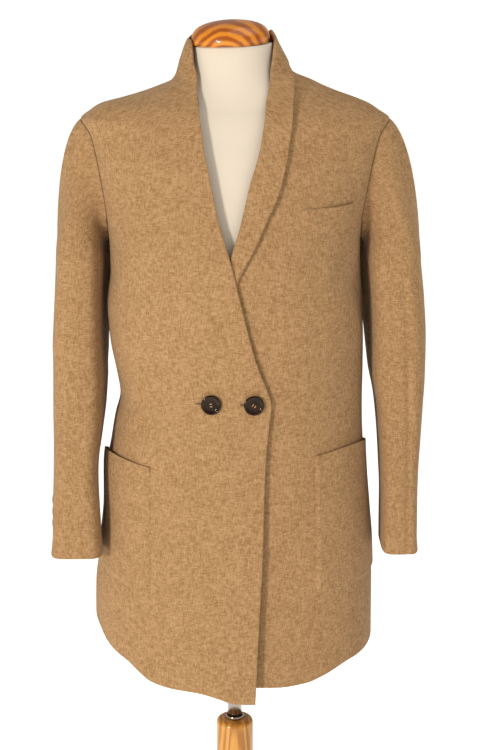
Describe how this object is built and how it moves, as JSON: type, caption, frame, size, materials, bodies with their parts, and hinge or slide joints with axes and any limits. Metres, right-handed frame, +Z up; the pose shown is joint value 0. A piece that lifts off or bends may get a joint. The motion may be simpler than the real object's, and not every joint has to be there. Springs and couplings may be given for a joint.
{
  "type": "blazer worn by a limbless dress form on a pole stand",
  "caption": "Hip-length wool blazer with a shawl collar and patch pockets, buttoned at the waist, on a limbless dress form with a wooden cap and round-based pole stand.",
  "frame": {"origin": "centre of the underside of the round base, on the floor", "axes": "+Z up; the front of the blazer faces -Y; the wearer's left is +X"},
  "size_m": [0.5234, 0.38, 1.4936],
  "materials": {
    "wool": "camel melange twill wool",
    "jersey": "smooth cream jersey",
    "wood": "varnished, with ring grain",
    "chrome": "polished tube",
    "button": "glossy dark brown"
  },
  "bodies": {
    "root": {"front_right": "wool", "front_left": "wool", "back": "wool", "collar_back": "wool", "lapel_left": "wool", "sleeve_right": "wool", "sleeve_left": "wool", "pocket_right": "wool", "pocket_left": "wool", "breast_welt": "wool", "form_torso": "jersey", "neck_cap": "wood", "post": "wood", "base": "wood", "pole": "chrome", "pole_ring": "chrome", "button_right": "button", "button_left": "button", "cuff_button_right_1": "button", "cuff_button_right_2": "button", "cuff_button_right_3": "button", "cuff_button_left_1": "button", "cuff_button_left_2": "button", "cuff_button_left_3": "button"}
  },
  "joints": []
}
